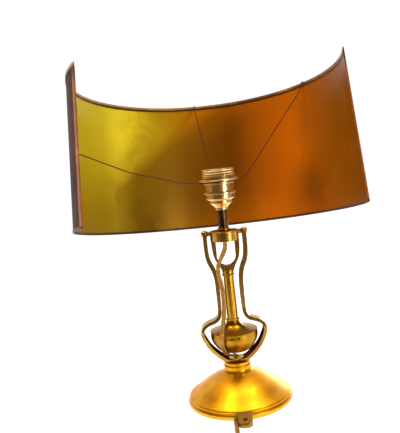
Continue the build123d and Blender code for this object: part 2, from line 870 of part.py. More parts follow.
def make_rim_wire(angle, bends):
    """Carrier wire from the ring to a hook over the shade's top edge."""
    gap = skin_thickness / 2 + binding_gap + binding_thickness + wire_radius + wire_gap
    top = shade_above + binding_gap + binding_thickness + wire_radius + wire_gap
    foot = shade_point(angle, shade_above - 2 * top_binding_height, -gap - top_binding_height)
    hook = [foot, shade_point(angle, top, -gap), shade_point(angle, top, gap),
            shade_point(angle, shade_above - top_binding_height, gap)]
    return wire_sweep(wire_run(foot, bends) + hook, 2)


def make_wire_left():
    inward = -skin_thickness / 2 - binding_gap - binding_thickness - wire_radius - wire_gap
    height = side_wire_height - shade_below
    tip = shade_point(-shade_half_angle + side_wire_inset, height, inward)
    return wire_sweep(wire_run(tip, [(0.04, 0), (0.15, 0.042), (0.60, 0.436)]) + [tip])


def make_wire_back():
    return make_rim_wire(back_wire_angle, [(0.03, 0), (0.11, 0.03), (0.35, 0.22), (0.53, 0.41)])


def make_wire_right():
    return make_rim_wire(right_wire_angle, [(0.10, -0.004), (0.188, 0.036)])


# ---- Cord -----------------------------------------------------------------------------------

under_bowl = strap_floor + 3.3
cord_z = cord_radius + 0.05
cord_upper_route = [
    (0, 0, drum_bottom),
    (0, 0, drum_bottom - 6.0),
    (-1.6, -1.6, 156.5),
    (-5.6, -5.8, 150.5),
    (-9.6, -9.6, 144.5),
    (-10.4, -11.2, 135.5),
    (-8.2, -10.8, 124.0),
    (-7.4, -10.6, 110.5),
    (-8.3, -12.6, 98.0),
    (-10.2, -18.8, 87.5),
    (-13.2, -25.6, 78.5),
    (-14.6, -26.2, 69.0),
    (-13.0, -21.0, 59.5),
    (-8.6, -13.6, 52.2),
    (-3.4, -5.4, under_bowl + 0.2),
    (0, 0, under_bowl - 0.2),
    (0, 0, strap_floor - 6.0),
]

cord_inner_route = [
    (0, 0, strap_floor - 6.0),
    (0, 0, 3.3),
    (-2.0, -5.4, 3.35),
    (-5.2, -14.0, 4.1),
    (-8.8, -33.0, 4.4),
    (-8.6, -41.5, 2.6),
    (-8.7, -47.5, cord_z),
    (cord_exit_x, -base_radius, cord_z),
]

coil_x = cord_exit_x + coil_radius
lead_in_route = [
    (cord_exit_x, -base_radius, cord_z),
    (cord_exit_x, -64.0, cord_z),
    (-9.0, -78.0, cord_z),
    (-8.6, -92.0, cord_z),
    (-8.9, -105.0, cord_z),
    (-8.6, -114.6, cord_z),
]
coil_layers = math.ceil(coil_turns / coil_columns)
coil_half_width = coil_columns * coil_pitch_across / 2
coil_height = coil_layers * coil_pitch_up
plug_x = coil_x + 72.0
plug_y = coil_y - coil_radius - 1.0
plug_z = plug_height / 2 + 0.05
lead_out_route = [
    (coil_x + 10.0, coil_y - 33.2, cord_z),
    (coil_x + 22.0, plug_y - 2.6, cord_z),
    (coil_x + 33.0, plug_y - 0.6, 4.2),
    (plug_x - sleeve_length - 6.5, plug_y, plug_z),
    (plug_x - sleeve_length, plug_y, plug_z),
]


def make_cord_coil():
    r = coil_radius
    w = coil_half_width
    return Pos(coil_x, coil_y, 0) * turned([(r - w, 0.1, 1.0), (r + w, 0.1, 1.0),
                                            (r + w, coil_height, 1.6), (r - w, coil_height, 1.6)])


def make_plug_body():
    """Flat two-pin plug lying on its broad side, narrowed towards the cord."""
    waist = plug_width * 0.42
    corners = [(0, -waist / 2), (plug_length * 0.55, -plug_width / 2), (plug_length, -plug_width / 2),
               (plug_length, plug_width / 2), (plug_length * 0.55, plug_width / 2), (0, waist / 2)]
    body = extrude(make_face(Polyline(*corners, close=True)), plug_height)
    body = fillet(body.edges().filter_by(Axis.Z), 3.0)
    body = fillet(body.faces().sort_by(Axis.Z)[-1].edges(), 2.0)
    return Pos(plug_x, plug_y, 0.05) * body


def make_plug_pins():
    pins = []
    start = plug_x + plug_length
    for side in (-1, 1):
        y = plug_y + side * plug_pin_pitch / 2
        pin = rod(plug_pin_radius, (start, y, plug_z), (start + plug_pin_length, y, plug_z))
        pins.append(fillet(pin.faces().sort_by(Axis.X)[-1].edges(), 1.2))
    return Compound(pins)


def make_plug_sleeve():
    low = cord_radius + 0.9
    high = 4.2
    plane = Plane(origin=(plug_x - sleeve_length, plug_y, plug_z), z_dir=(1, 0, 0))
    end = Plane(origin=(plug_x, plug_y, plug_z), z_dir=(1, 0, 0))
    return loft([plane * Circle(low), end * Circle(high)])


nodes = {
    "base_shell": make_base_shell,
    "hanging_lug": make_hanging_lug,
    "base_ballast": make_ballast,
    "baize_pad": make_baize_pad,
    "swivel_stud": make_stud,
    "stud_nut": make_stud_nut,
    "stud_washer": lambda: tube(9.5, stud_radius + 0.1, stud_foot + nut_height + 0.6,
                                stud_foot + nut_height + 0.6 + washer_height),
    "stud_sleeve": lambda: tube(stud_radius + 0.1 + sleeve_wall, stud_radius + 0.1, ballast_top,
                                neck_top - boss_depth),
    "swivel_washer": lambda: tube(swivel_washer_radius, stud_radius + 0.1, neck_top, swivel_top),
    "cord_saddle": make_saddle,
    "saddle_screws": make_saddle_screws,
    "yoke_strap": make_yoke_strap,
    "yoke_foot": make_yoke_foot,
    "pivot_screws": make_pivot_screws,
    "pivot_spacers": make_pivot_spacers,
    "stirrup": make_stirrup,
    "column": make_column,
    "column_foot": make_column_foot,
    "bowl_cover": make_bowl_cover,
    "bowl_cup": make_bowl_cup,
    "bowl_weight": make_bowl_weight,
    "bowl_screws": make_bowl_screws,
    "tie_rod": lambda: rod(tie_rod_radius, (0, 0, tie_rod_bottom), (0, 0, collar_top + 2.2)),
    "stem": make_stem,
    "ring_nut": make_ring_nut,
    "holder_cap": make_holder_cap,
    "holder_body": make_holder_body,
    "holder_insert": make_holder_insert,
    "screw_shell": make_screw_shell,
    "centre_contact": make_centre_contact,
    "contact_rivet": make_contact_rivet,
    "terminal_screws": make_terminal_screws,
    "shade_ring_lower": make_lower_shade_ring,
    "shade_ring_upper": make_upper_shade_ring,
    "carrier_ring": make_carrier_ring,
    "wire_left": make_wire_left,
    "wire_back": make_wire_back,
    "wire_right": make_wire_right,
    "shade_skin": make_shade_skin,
    "shade_top_binding": make_top_binding,
    "shade_bottom_binding": make_bottom_binding,
    "shade_left_binding": lambda: make_end_binding(-1),
    "shade_right_binding": lambda: make_end_binding(1),
    "cord_stem": lambda: rod(cord_radius, (0, 0, drum_bottom), (0, 0, insert_bottom - 1.0)),
    "cord_upper": lambda: cord_tube("cord_upper", cord_upper_route),
    "cord_inner": lambda: cord_tube("cord_inner", cord_inner_route),
    "cord_lead": lambda: cord_tube("cord_lead", lead_in_route),
    "cord_coil": make_cord_coil,
    "cord_tail": lambda: cord_tube("cord_tail", lead_out_route),
    "plug_body": make_plug_body,
    "plug_pins": make_plug_pins,
    "plug_sleeve": make_plug_sleeve,
}

for name, make in nodes.items():
    save(name, make())
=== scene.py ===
import math

import bmesh
import bpy
from mathutils import Euler, Matrix, Vector


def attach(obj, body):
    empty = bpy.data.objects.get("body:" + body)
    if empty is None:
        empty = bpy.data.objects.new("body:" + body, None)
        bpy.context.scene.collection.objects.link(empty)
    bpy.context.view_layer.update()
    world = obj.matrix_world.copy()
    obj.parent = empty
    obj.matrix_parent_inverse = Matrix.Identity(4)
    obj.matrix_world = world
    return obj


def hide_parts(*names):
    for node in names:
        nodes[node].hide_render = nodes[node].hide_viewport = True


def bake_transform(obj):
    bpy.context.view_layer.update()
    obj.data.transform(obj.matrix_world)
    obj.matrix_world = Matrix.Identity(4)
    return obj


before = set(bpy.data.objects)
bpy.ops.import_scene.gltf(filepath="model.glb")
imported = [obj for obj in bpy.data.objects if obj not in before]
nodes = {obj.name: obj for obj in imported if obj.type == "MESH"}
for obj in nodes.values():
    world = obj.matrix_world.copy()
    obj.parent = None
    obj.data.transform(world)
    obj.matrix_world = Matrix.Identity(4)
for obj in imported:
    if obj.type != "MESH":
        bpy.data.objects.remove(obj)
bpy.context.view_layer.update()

scene = bpy.context.scene

# ---- Sizes shared with the solids, in metres -------------------------------------------------

CORD_WIDTH = 0.0044
CORD_THICKNESS = 0.0025
COIL_CENTRE = Vector((0.0173, -0.137, 0.0))
COIL_OUTER_TURN = 0.0314
COIL_INNER_TURN = 0.0206
TURN_STEP = 0.0027
COIL_LOWER_TURNS = 5
COIL_TURNS = 10.386
COIL_START = math.radians(146.0)
TURN_POINTS = 14
STRAIGHT_SHARE = 0.78
LOWER_TURN_HEIGHT = 0.00235
UPPER_TURN_HEIGHT = 0.00700
LOBE_CENTRE = 0.072
SHADE_ORIGIN = Vector((0.0, 0.0, 0.2293))
SHADE_OFFSET = 0.0148
SHADE_HALF_ANGLE = math.radians(112.5)
SHADE_TOP = 0.1144
SHADE_TURN, SHADE_TILT, SHADE_ROLL = (math.radians(a) for a in (8.7, -9.8, 1.4))
SHADOW_SLOPE = 0.096


# ---- Camera ----------------------------------------------------------------------------------

CAMERA_PLACE = (-0.022463, -0.59879, 0.257273)
CAMERA_PITCH, CAMERA_ROLL = 0.1059, -0.1045
SENSOR_WIDTH = 36.0
FRAME_LONG_SIDE = 433.0
FOCAL_LENGTH_IN_PIXELS = 598.0


def place_camera():
    forward = Vector((0, math.cos(CAMERA_PITCH), -math.sin(CAMERA_PITCH)))
    upright = Vector((0, math.sin(CAMERA_PITCH), math.cos(CAMERA_PITCH)))
    sideways = Vector((1, 0, 0))
    across = sideways * math.cos(CAMERA_ROLL) + upright * math.sin(CAMERA_ROLL)
    up = upright * math.cos(CAMERA_ROLL) - sideways * math.sin(CAMERA_ROLL)
    data = bpy.data.cameras.new("camera")
    data.sensor_width = SENSOR_WIDTH
    data.lens = SENSOR_WIDTH * FOCAL_LENGTH_IN_PIXELS / FRAME_LONG_SIDE
    camera = bpy.data.objects.new("camera", data)
    turn = Matrix((across, up, -forward)).transposed().to_4x4()
    camera.matrix_world = Matrix.Translation(CAMERA_PLACE) @ turn
    scene.collection.objects.link(camera)
    scene.camera = camera


place_camera()

# ---- Cord ------------------------------------------------------------------------------------


def millimetres(*points):
    return [Vector(p) / 1000 for p in points]


def smooth_line(points, resolution):
    """Points along the NURBS spline that a cord's route controls."""
    data = bpy.data.curves.new("route", "CURVE")
    data.dimensions = "3D"
    data.resolution_u = resolution
    spline = data.splines.new("NURBS")
    spline.points.add(len(points) - 1)
    for place, point in zip(spline.points, points):
        place.co = (*point, 1.0)
    spline.order_u = 3
    spline.use_endpoint_u = True
    holder = bpy.data.objects.new("route", data)
    scene.collection.objects.link(holder)
    bpy.context.view_layer.update()
    line = bpy.data.meshes.new_from_object(holder)
    found = [v.co.copy() for v in line.vertices]
    bpy.data.meshes.remove(line)
    bpy.data.objects.remove(holder)
    bpy.data.curves.remove(data)
    return found


def twin_section(steps=20):
    """Outline of a twin flex: wide, thin, and pinched along its middle."""
    outline = []
    for i in range(steps):
        a = 2 * math.pi * i / steps
        x = math.cos(a) * CORD_WIDTH / 2
        pinch = 1 - 0.30 * math.exp(-((x / 0.00055) ** 2))
        outline.append((x, math.sin(a) * CORD_THICKNESS / 2 * pinch))
    return outline


def twin_flex(name, points, widths, resolution=8):
    """Flat flex along a route. `widths` gives the way its broad side points at each route point."""
    line = smooth_line(points, resolution)
    section = twin_section()
    mesh = bmesh.new()
    rings = []
    for i, here in enumerate(line):
        along = (line[min(i + 1, len(line) - 1)] - line[max(i - 1, 0)]).normalized()
        place = i / (len(line) - 1) * (len(widths) - 1)
        low = min(int(place), len(widths) - 2)
        broad = Vector(widths[low]).lerp(Vector(widths[low + 1]), place - low)
        broad = (broad - along * broad.dot(along)).normalized()
        thin = along.cross(broad)
        rings.append([mesh.verts.new(here + broad * x + thin * y) for x, y in section])
    for ring, following in zip(rings, rings[1:]):
        for i in range(len(section)):
            j = (i + 1) % len(section)
            mesh.faces.new((ring[i], ring[j], following[j], following[i]))
    mesh.faces.new(list(reversed(rings[0])))
    mesh.faces.new(rings[-1])
    return finished(name, mesh), line


def finished(name, mesh, smooth=True):
    """Object from a bmesh, with outward normals."""
    bmesh.ops.recalc_face_normals(mesh, faces=mesh.faces)
    data = bpy.data.meshes.new(name)
    mesh.to_mesh(data)
    mesh.free()
    for face in data.polygons:
        face.use_smooth = smooth
    piece = bpy.data.objects.new(name, data)
    scene.collection.objects.link(piece)
    return piece


def coil_points():
    """Turns laid from the outside in on the table, then from the inside out on top of them."""
    points = []
    for i in range(int(COIL_TURNS * TURN_POINTS) + 1):
        turns = i / TURN_POINTS
        lap = int(turns)
        shift = max(0.0, (turns - lap - STRAIGHT_SHARE) / (1.0 - STRAIGHT_SHARE))
        if lap < COIL_LOWER_TURNS - 1:
            radius = COIL_OUTER_TURN - TURN_STEP * (lap + shift)
            height = LOWER_TURN_HEIGHT
        elif lap == COIL_LOWER_TURNS - 1:
            radius = COIL_INNER_TURN
            height = LOWER_TURN_HEIGHT + (UPPER_TURN_HEIGHT - LOWER_TURN_HEIGHT) * shift
        else:
            last = 2 * COIL_LOWER_TURNS - 1
            moved = min(lap - COIL_LOWER_TURNS + (shift if lap < last else 0), last - COIL_LOWER_TURNS)
            radius = COIL_INNER_TURN + TURN_STEP * moved
            height = UPPER_TURN_HEIGHT
        if turns > 2 * COIL_LOWER_TURNS:
            down = min(1.0, (turns - 2 * COIL_LOWER_TURNS) / 0.34)
            radius += 0.0030 * min(1.0, 1.8 * down)
            height -= (UPPER_TURN_HEIGHT - 0.0015) * max(0.0, (down - 0.35) / 0.65)
        angle = COIL_START + 2 * math.pi * turns
        points.append(COIL_CENTRE + Vector((math.cos(angle) * radius, math.sin(angle) * radius, height)))
    return points


def make_free_cord():
    """From the notch in the rim, along the table, round the put-away coil and on to the plug."""
    lead = millimetres((-8.7, -53.8, 1.55), (-8.7, -64, 1.35), (-9.0, -78, 1.3), (-8.6, -92, 1.35),
                       (-8.9, -103, 1.7), (-8.8, -111, 2.2))
    tail = millimetres((40.5, -166.4, 1.5), (50.3, -164.6, 3.2), (58.8, -164, 6.2),
                       (62.5, -164, 6.85), (66.0, -164, 6.85))
    coil = coil_points()
    flat = (1, 0, 0)
    widths = [flat] * 4 + [(0.8, 0, 0.6), (0.2, 0, 1)]
    widths += [(0, 0, 1)] * (len(coil) - 3) + [(0.3, 0.3, 0.8), (0.2, 0.9, 0.4), (0, 1, 0.1)]
    widths += [(0, 1, 0)] * len(tail)
    piece, line = twin_flex("free_cord", lead + coil + tail, widths)
    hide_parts("cord_lead", "cord_coil", "cord_tail")
    return piece, line


UPPER_ROUTE = millimetres(
    (0, 0, 167.2), (0, 0, 161.2), (-1.6, -1.6, 156.5), (-5.6, -5.8, 150.5), (-9.6, -9.6, 144.5),
    (-10.4, -11.2, 135.5), (-8.2, -10.8, 124.0), (-7.4, -10.6, 110.5), (-8.3, -12.6, 98.0),
    (-10.2, -18.8, 87.5), (-13.2, -25.6, 78.5), (-14.6, -26.2, 69.0), (-13.0, -21.0, 59.5),
    (-8.6, -13.6, 52.2), (-3.4, -5.4, 48.7), (0, 0, 48.3), (0, 0, 39.2))

INNER_ROUTE = millimetres(
    (0, 0, 39.2), (0, 0, 3.3), (-2.0, -5.4, 3.35), (-5.2, -14.0, 4.1), (-8.8, -33.0, 4.4),
    (-8.6, -41.5, 2.6), (-8.7, -47.5, 1.55), (-8.7, -53.8, 1.55))


def make_held_cords():
    """The flex from the pendulum down to the yoke's stud, and on through the base."""
    widths = [(1, 0.2, 0)] * 3 + [(0.9, -0.4, 0.2)] * 3 + [(1, 0.1, 0.1)] * 4 + [(0.9, -0.3, 0.3)] * 4
    widths += [(0.8, -0.6, 0)] * 3
    upper, _ = twin_flex("upper_cord", UPPER_ROUTE, widths)
    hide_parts("cord_upper")
    inner, _ = twin_flex("inner_cord", INNER_ROUTE, [(0.8, -0.6, 0)] * 2 + [(1, -0.2, 0)] * 6)
    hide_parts("cord_inner")
    return upper, inner


def make_coil_tie():
    """Thin band round the bundle of turns."""
    mesh = bmesh.new()
    half_width = 0.0075
    top = 0.0101
    corner = 0.0022
    outline = []
    for cx, cz, first in ((1, 1, 0), (-1, 1, 90), (-1, -1, 180), (1, -1, 270)):
        centre_x = cx * (half_width - corner)
        centre_z = top - corner if cz > 0 else 0.0004 + corner
        for k in range(6):
            a = math.radians(first + 18 * k)
            outline.append((centre_x + corner * math.cos(a), centre_z + corner * math.sin(a)))
    angle = math.radians(20)
    away = Vector((math.cos(angle), math.sin(angle), 0))
    beside = Vector((-math.sin(angle), math.cos(angle), 0))
    middle = (COIL_OUTER_TURN + COIL_INNER_TURN) / 2
    rings = []
    for side, grow in ((-1, 0), (-1, 1), (1, 1), (1, 0)):
        ring = []
        for x, z in outline:
            out = 1 + 0.05 * grow
            spot = COIL_CENTRE + away * (middle + x * out) + beside * (side * 0.0016)
            ring.append(mesh.verts.new(spot + Vector((0, 0, z + 0.0003 * grow))))
        rings.append(ring)
    for ring, following in zip(rings, rings[1:] + rings[:1]):
        for i in range(len(outline)):
            j = (i + 1) % len(outline)
            mesh.faces.new((ring[i], ring[j], following[j], following[i]))
    return finished("coil_tie", mesh)


free_cord, free_line = make_free_cord()
upper_cord, inner_cord = make_held_cords()
coil_tie = make_coil_tie()

# ---- Node tools ------------------------------------------------------------------------------


def add(tree, kind, **settings):
    node = tree.nodes.new(kind)
    for key, value in settings.items():
        setattr(node, key, value)
    return node


def feed(tree, socket, value):
    """Link a socket, or set it when the value is a plain number or colour."""
    if isinstance(value, bpy.types.NodeSocket):
        tree.links.new(value, socket)
    elif isinstance(value, tuple) and len(value) == 3 and len(socket.default_value) == 4:
        socket.default_value = (*value, 1.0)
    else:
        socket.default_value = value


def noise(tree, where, scale, detail=3.0, roughness=0.55, distortion=0.0):
    node = add(tree, "ShaderNodeTexNoise")
    feed(tree, node.inputs["Vector"], where)
    feed(tree, node.inputs["Scale"], scale)
    feed(tree, node.inputs["Detail"], detail)
    feed(tree, node.inputs["Roughness"], roughness)
    feed(tree, node.inputs["Distortion"], distortion)
    return node.outputs["Fac"]


def stretched(tree, where, factors):
    node = add(tree, "ShaderNodeVectorMath", operation="MULTIPLY")
    feed(tree, node.inputs[0], where)
    node.inputs[1].default_value = factors
    return node.outputs[0]


def shifted(tree, where, offset):
    node = add(tree, "ShaderNodeVectorMath", operation="ADD")
    feed(tree, node.inputs[0], where)
    node.inputs[1].default_value = offset
    return node.outputs[0]


def calc(tree, operation, a, b=0.0, clamp=False):
    node = add(tree, "ShaderNodeMath", operation=operation, use_clamp=clamp)
    feed(tree, node.inputs[0], a)
    feed(tree, node.inputs[1], b)
    return node.outputs[0]


def between(tree, value, low, high, to_low=0.0, to_high=1.0):
    """Rescale a value from one span to another, and hold it inside the second."""
    node = add(tree, "ShaderNodeMapRange", clamp=True)
    for key, amount in (("Value", value), ("From Min", low), ("From Max", high),
                        ("To Min", to_low), ("To Max", to_high)):
        feed(tree, node.inputs[key], amount)
    return node.outputs[0]


def blend_colour(tree, share, a, b, how="MIX"):
    node = add(tree, "ShaderNodeMix", data_type="RGBA", blend_type=how)
    feed(tree, node.inputs[0], share)
    feed(tree, node.inputs[6], a)
    feed(tree, node.inputs[7], b)
    return node.outputs[2]


def object_place(tree):
    return add(tree, "ShaderNodeTexCoord").outputs["Object"]


def new_group(name, inputs, outputs):
    """Empty shader group with named sockets: returns the tree, its inputs and its output node."""
    group = bpy.data.node_groups.new(name, "ShaderNodeTree")
    for label, kind, default in inputs:
        socket = group.interface.new_socket(label, in_out="INPUT", socket_type=kind)
        if default is not None:
            socket.default_value = default
    for label, kind in outputs:
        group.interface.new_socket(label, in_out="OUTPUT", socket_type=kind)
    entry = add(group, "NodeGroupInput").outputs
    leave = add(group, "NodeGroupOutput").inputs
    return group, entry, leave


FLOAT, COLOUR = "NodeSocketFloat", "NodeSocketColor"

# ---- Shared effects --------------------------------------------------------------------------


def build_tarnish():
    """Uneven browning of a metal: cloudy stains, small specks, and dirt in the corners."""
    group, entry, leave = new_group(
        "tarnish",
        [("Metal", COLOUR, (0.8, 0.5, 0.12, 1)), ("Stain", COLOUR, (0.4, 0.2, 0.05, 1)),
         ("Dirt", COLOUR, (0.05, 0.03, 0.01, 1)), ("Stain Share", FLOAT, 0.5),
         ("Dirt Share", FLOAT, 0.7), ("Cloud Size", FLOAT, 90.0), ("Seed", FLOAT, 0.0)],
        [("Colour", COLOUR), ("Dullness", FLOAT)])
    where = object_place(group)
    seeded = add(group, "ShaderNodeVectorMath", operation="ADD")
    feed(group, seeded.inputs[0], where)
    feed(group, seeded.inputs[1], entry["Seed"])
    where = seeded.outputs[0]
    cloud = noise(group, where, entry["Cloud Size"], 5.0, 0.62, 0.4)
    cloud = between(group, cloud, 0.40, 0.66)
    fine = noise(group, where, calc(group, "MULTIPLY", entry["Cloud Size"], 7.0), 4.0, 0.7)
    speck = between(group, fine, 0.60, 0.74)
    stain = calc(group, "MULTIPLY", cloud, entry["Stain Share"])
    stain = calc(group, "ADD", stain, calc(group, "MULTIPLY", speck, 0.22), True)
    shelter = add(group, "ShaderNodeAmbientOcclusion", samples=6)
    shelter.inputs["Distance"].default_value = 0.0035
    corner = between(group, shelter.outputs["AO"], 0.75, 0.28)
    corner = calc(group, "MULTIPLY", corner, between(group, fine, 0.25, 0.60, 0.55, 1.0))
    corner = calc(group, "MULTIPLY", corner, entry["Dirt Share"], True)
    colour = blend_colour(group, stain, entry["Metal"], entry["Stain"])
    feed(group, leave["Colour"], blend_colour(group, corner, colour, entry["Dirt"]))
    dull = calc(group, "ADD", calc(group, "MULTIPLY", stain, 0.5), corner, True)
    feed(group, leave["Dullness"], dull)
    return group


def build_handling():
    """Fine wear: rubbing in all directions, hairline scratches and shallow dents."""
    group, entry, leave = new_group(
        "handling", [("Size", FLOAT, 1.0), ("Scratches", FLOAT, 0.5), ("Dents", FLOAT, 0.4)],
        [("Height", FLOAT), ("Rub", FLOAT)])
    where = object_place(group)
    scale = add(group, "ShaderNodeVectorMath", operation="SCALE")
    feed(group, scale.inputs[0], where)
    feed(group, scale.inputs["Scale"], entry["Size"])
    where = scale.outputs[0]
    lines = None
    for turn, seed in (((0.3, 0.2, 0.9), 0.0), ((1.1, -0.7, 0.2), 3.0), ((-0.5, 1.3, -0.6), 7.0)):
        turned = add(group, "ShaderNodeVectorRotate", rotation_type="EULER_XYZ")
        feed(group, turned.inputs["Vector"], shifted(group, where, (seed, seed, seed)))
        turned.inputs["Rotation"].default_value = turn
        line = noise(group, stretched(group, turned.outputs[0], (2600, 60, 260)), 1.0, 1.0, 0.5)
        line = between(group, line, 0.70, 0.78)
        lines = line if lines is None else calc(group, "MAXIMUM", lines, line)
    dent = noise(group, where, 140.0, 2.0, 0.4)
    rub = noise(group, where, 420.0, 5.0, 0.7)
    height = calc(group, "MULTIPLY", dent, entry["Dents"])
    height = calc(group, "SUBTRACT", height, calc(group, "MULTIPLY", lines, entry["Scratches"]))
    feed(group, leave["Height"], height)
    rubbed = calc(group, "ADD", calc(group, "MULTIPLY", lines, entry["Scratches"]), rub)
    feed(group, leave["Rub"], rubbed)
    return group


def build_shade_sides():
    """Which face of the shade a point is on, and how far round and up it lies."""
    group, entry, leave = new_group(
        "shade_sides", [], [("Outside", FLOAT), ("Around", FLOAT), ("Up", FLOAT)])
    turn = Euler((0, 0, SHADE_TURN)).to_matrix() @ Euler((SHADE_TILT, 0, 0)).to_matrix()
    turn = turn @ Euler((0, SHADE_ROLL, 0)).to_matrix()
    axis = turn @ Vector((0, 0, 1))
    side = turn @ Vector((1, 0, 0))
    back = turn @ Vector((0, 1, 0))
    middle = SHADE_ORIGIN + back * SHADE_OFFSET
    place = shifted(group, object_place(group), tuple(-middle))

    def measure(vector, way):
        node = add(group, "ShaderNodeVectorMath", operation="DOT_PRODUCT")
        feed(group, node.inputs[0], vector)
        node.inputs[1].default_value = tuple(way)
        return node.outputs["Value"]

    facing = add(group, "ShaderNodeTexCoord").outputs["Normal"]
    x, y = measure(place, side), measure(place, back)
    out = calc(group, "MULTIPLY", x, measure(facing, side))
    out = calc(group, "ADD", out, calc(group, "MULTIPLY", y, measure(facing, back)))
    feed(group, leave["Outside"], between(group, out, -0.02, 0.02))
    feed(group, leave["Around"], calc(group, "ARCTAN2", x, y))
    feed(group, leave["Up"], measure(place, axis))
    return group


def build_strap_inside_painted_shade():
    """Mask of the strap's faces that look at its own middle, where the brass gets painted shade."""
    group, entry, leave = new_group("strap_inside_painted_shade", [], [("Inside", FLOAT)])
    parts = add(group, "ShaderNodeSeparateXYZ")
    feed(group, parts.inputs[0], object_place(group))
    across = calc(group, "MULTIPLY", parts.outputs["X"], -1.0)
    up = calc(group, "MAXIMUM", calc(group, "SUBTRACT", LOBE_CENTRE, parts.outputs["Z"]), 0.0)
    inward = add(group, "ShaderNodeCombineXYZ")
    feed(group, inward.inputs["X"], across)
    feed(group, inward.inputs["Z"], up)
    unit = add(group, "ShaderNodeVectorMath", operation="NORMALIZE")
    feed(group, unit.inputs[0], inward.outputs[0])
    facing = add(group, "ShaderNodeVectorMath", operation="DOT_PRODUCT")
    feed(group, facing.inputs[0], add(group, "ShaderNodeTexCoord").outputs["Normal"])
    feed(group, facing.inputs[1], unit.outputs[0])
    edge = noise(group, object_place(group), 260.0, 4.0, 0.6)
    threshold = between(group, edge, 0.3, 0.7, 0.15, 0.45)
    above = calc(group, "SUBTRACT", facing.outputs["Value"], threshold)
    feed(group, leave["Inside"], between(group, above, 0.0, 0.18))
    return group


tarnish = build_tarnish()
strap_inside_painted_shade = build_strap_inside_painted_shade()
handling = build_handling()
shade_sides = build_shade_sides()


def use(tree, group, **values):
    node = add(tree, "ShaderNodeGroup", node_tree=group)
    for key, value in values.items():
        feed(tree, node.inputs[key.replace("_", " ")], value)
    return node.outputs


def new_material(name):
    material = bpy.data.materials.new(name)
    material.use_nodes = True
    tree = material.node_tree
    shader = tree.nodes["Principled BSDF"]
    return material, tree, shader


def set_bump(tree, shader, height, strength, distance):
    bump = add(tree, "ShaderNodeBump")
    bump.inputs["Strength"].default_value = strength
    bump.inputs["Distance"].default_value = distance
    feed(tree, bump.inputs["Height"], height)
    feed(tree, shader.inputs["Normal"], bump.outputs[0])


# ---- Materials -------------------------------------------------------------------------------


def brass(name, metal, stain, dirt, stain_share, dirt_share, gloss, seed, cloud=90.0, scratches=0.35,
          dents=0.35, bump=0.25, painted_shade_inside=False):
    """Aged brass. `gloss` is its lowest and highest roughness."""
    material, tree, shader = new_material(name)
    age = use(tree, tarnish, Metal=metal, Stain=stain, Dirt=dirt, Stain_Share=stain_share,
              Dirt_Share=dirt_share, Cloud_Size=cloud, Seed=seed)
    wear = use(tree, handling, Size=1.0, Scratches=scratches, Dents=dents)
    colour, rough_extra = age["Colour"], calc(tree, "MULTIPLY", age["Dullness"], 0.22)
    shader.inputs["Metallic"].default_value = 1.0
    if painted_shade_inside:
        # Painted shade: the strap's inward faces are darkened to near black and dulled.
        inside = use(tree, strap_inside_painted_shade)["Inside"]
        colour = blend_colour(tree, calc(tree, "MULTIPLY", inside, 0.95), colour, (0.030, 0.015, 0.005))
        rough_extra = calc(tree, "ADD", rough_extra, calc(tree, "MULTIPLY", inside, 0.30))
        feed(tree, shader.inputs["Metallic"], between(tree, inside, 0.0, 1.0, 1.0, 0.0))
        shader.inputs["Specular IOR Level"].default_value = 0.0
    feed(tree, shader.inputs["Base Color"], colour)
    rough = between(tree, wear["Rub"], 0.30, 0.90, gloss[0], gloss[1])
    rough = calc(tree, "ADD", rough, rough_extra, True)
    feed(tree, shader.inputs["Roughness"], rough)
    set_bump(tree, shader, wear["Height"], bump, 0.0002)
    return material


GOLD = (0.90, 0.43, 0.012)
GOLD_DEEP = (0.62, 0.22, 0.008)
UMBER = (0.055, 0.024, 0.006)

brass_base = brass("cast_brass_base", GOLD, GOLD_DEEP, UMBER, 0.55, 0.70, (0.34, 0.46), 0.0, 45.0, 0.3,
                   0.3, 0.16)
brass_yoke = brass("rolled_brass_strap", (0.66, 0.37, 0.07), (0.34, 0.15, 0.02), UMBER, 0.6, 0.9,
                   (0.24, 0.38), 1.7, 70.0, 0.3, 0.2, 0.06, True)
brass_tube = brass("drawn_brass_tube", (0.70, 0.40, 0.04), (0.44, 0.20, 0.015), UMBER, 0.45, 0.8,
                   (0.26, 0.34), 3.1, 40.0, 0.15, 0.10, 0.04)
brass_bowl = brass("spun_brass_bowl", (0.46, 0.24, 0.012), (0.27, 0.11, 0.006), UMBER, 0.45, 0.8,
                   (0.28, 0.36), 4.9, 40.0, 0.15, 0.10, 0.04)
brass_lug = brass("worn_brass_lug", (0.40, 0.24, 0.05), (0.20, 0.10, 0.015), UMBER, 0.7, 0.9,
                  (0.34, 0.50), 5.6, 90.0, 0.4, 0.4, 0.2)
brass_holder = brass("lampholder_brass", (0.88, 0.62, 0.26), (0.62, 0.34, 0.09), (0.05, 0.025, 0.008),
                     0.35, 1.0, (0.26, 0.34), 6.3, 30.0, 0.10, 0.1, 0.03)
brass_dark = brass("darkened_brass", (0.13, 0.065, 0.02), (0.06, 0.025, 0.008), (0.02, 0.01, 0.004),
                   0.7, 0.6, (0.24, 0.42), 8.2, 140.0)
brass_screw = brass("screw_brass", (0.60, 0.36, 0.10), (0.28, 0.13, 0.03), UMBER, 0.6, 0.9,
                    (0.26, 0.42), 9.4, 200.0)
steel = brass("plain_steel", (0.50, 0.49, 0.47), (0.30, 0.24, 0.18), (0.06, 0.04, 0.03), 0.5, 0.8,
              (0.28, 0.45), 11.0, 160.0)
nickel_pins = brass("nickel_pins", (0.70, 0.67, 0.62), (0.50, 0.42, 0.30), (0.08, 0.06, 0.04), 0.3,
                    0.6, (0.18, 0.30), 12.2, 160.0)


